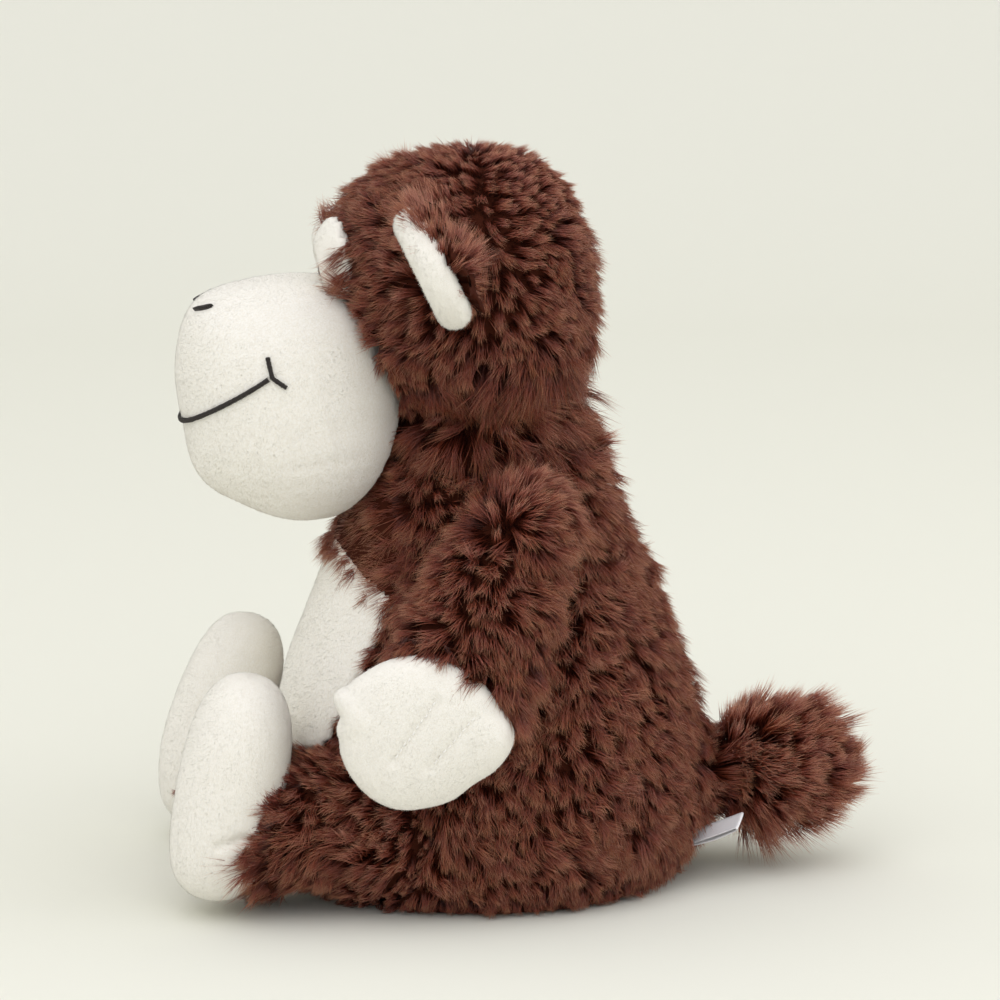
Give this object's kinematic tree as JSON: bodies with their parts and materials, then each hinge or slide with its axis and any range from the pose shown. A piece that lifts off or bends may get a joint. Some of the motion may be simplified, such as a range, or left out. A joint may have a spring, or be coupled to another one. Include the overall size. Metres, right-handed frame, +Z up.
{
  "type": "stuffed monkey",
  "caption": "Seated long-pile plush monkey with pale muzzle, belly, hands and feet, and a head, arms, legs, ears and tail that turn at their seams.",
  "frame": {"origin": "middle of the flat seat that the toy rests on, between the hips", "axes": "+Z up, -Y towards the front that the face looks to, +X towards the toy's own left"},
  "size_m": [0.2314, 0.3084, 0.3269],
  "materials": {
    "brown_fur": "long-pile fur",
    "brown_plush": "short-pile plush",
    "cream_plush": "short-pile plush",
    "fibre": "loose polyester fibre",
    "pouch_cloth": "plain woven cloth",
    "pellets": "loose pellets",
    "label_satin": "satin ribbon",
    "eye_black": "polished",
    "washer_white": "moulded"
  },
  "bodies": {
    "torso": {"torso_cover": "brown_fur", "belly_panel": "cream_plush", "seat_panel": "brown_plush", "torso_filling": "fibre", "pouch_bag": "pouch_cloth", "pouch_grain": "pellets", "care_label": "label_satin"},
    "neck": {"neck_cover": "brown_fur", "neck_filling": "fibre"},
    "head": {"head_cover": "brown_fur", "head_filling": "fibre", "eye_patches": "cream_plush", "eye_left": "eye_black", "eye_right": "eye_black", "eye_washers": "washer_white", "muzzle_cover": "cream_plush", "muzzle_filling": "fibre"},
    "ear_left": {"ear_left_back": "brown_fur", "ear_left_lining": "cream_plush"},
    "ear_right": {"ear_right_back": "brown_fur", "ear_right_lining": "cream_plush"},
    "arm_left": {"sleeve_left": "brown_fur", "arm_left_filling": "fibre", "hand_left": "cream_plush", "hand_left_filling": "fibre"},
    "arm_right": {"sleeve_right": "brown_fur", "arm_right_filling": "fibre", "hand_right": "cream_plush", "hand_right_filling": "fibre"},
    "leg_left": {"leg_left_cover": "brown_fur", "leg_left_filling": "fibre", "foot_left": "cream_plush", "foot_left_filling": "fibre"},
    "leg_right": {"leg_right_cover": "brown_fur", "leg_right_filling": "fibre", "foot_right": "cream_plush", "foot_right_filling": "fibre"},
    "tail": {"tail_cover": "brown_fur", "tail_filling": "fibre"}
  },
  "joints": [
    {"name": "neck_turn", "type": "hinge", "parent": "torso", "child": "neck", "pos_m": [0, -0.006, 0.193], "axis": [0, 0, 1], "range_deg": [-15, 15]},
    {"name": "neck_nod", "type": "hinge", "parent": "neck", "child": "head", "pos_m": [0, -0.006, 0.193], "axis": [1, 0, 0], "range_deg": [-12, 3]},
    {"name": "ear_left_fold", "type": "hinge", "parent": "head", "child": "ear_left", "pos_m": [0.066, -0.03, 0.2835], "axis": [0, -0.4384, 0.8988], "range_deg": [-20, 20], "stiffness_Nm_per_rad": 0.05},
    {"name": "ear_right_fold", "type": "hinge", "parent": "head", "child": "ear_right", "pos_m": [-0.066, -0.03, 0.2835], "axis": [0, -0.4384, 0.8988], "range_deg": [-20, 20], "stiffness_Nm_per_rad": 0.05},
    {"name": "shoulder_left", "type": "hinge", "parent": "torso", "child": "arm_left", "pos_m": [0.06331, 0.006, 0.168], "axis": [1, 0, 0], "range_deg": [-100, 35]},
    {"name": "shoulder_right", "type": "hinge", "parent": "torso", "child": "arm_right", "pos_m": [-0.06331, 0.006, 0.168], "axis": [1, 0, 0], "range_deg": [-100, 35]},
    {"name": "hip_left", "type": "hinge", "parent": "torso", "child": "leg_left", "pos_m": [0.056, -0.058, 0.038], "axis": [0, 0, 1], "range_deg": [0, 20]},
    {"name": "hip_right", "type": "hinge", "parent": "torso", "child": "leg_right", "pos_m": [-0.056, -0.058, 0.038], "axis": [0, 0, -1], "range_deg": [0, 20]},
    {"name": "tail_wag", "type": "hinge", "parent": "torso", "child": "tail", "pos_m": [0, 0.08408, 0.044], "axis": [0, 0, 1], "range_deg": [-25, 25]}
  ]
}
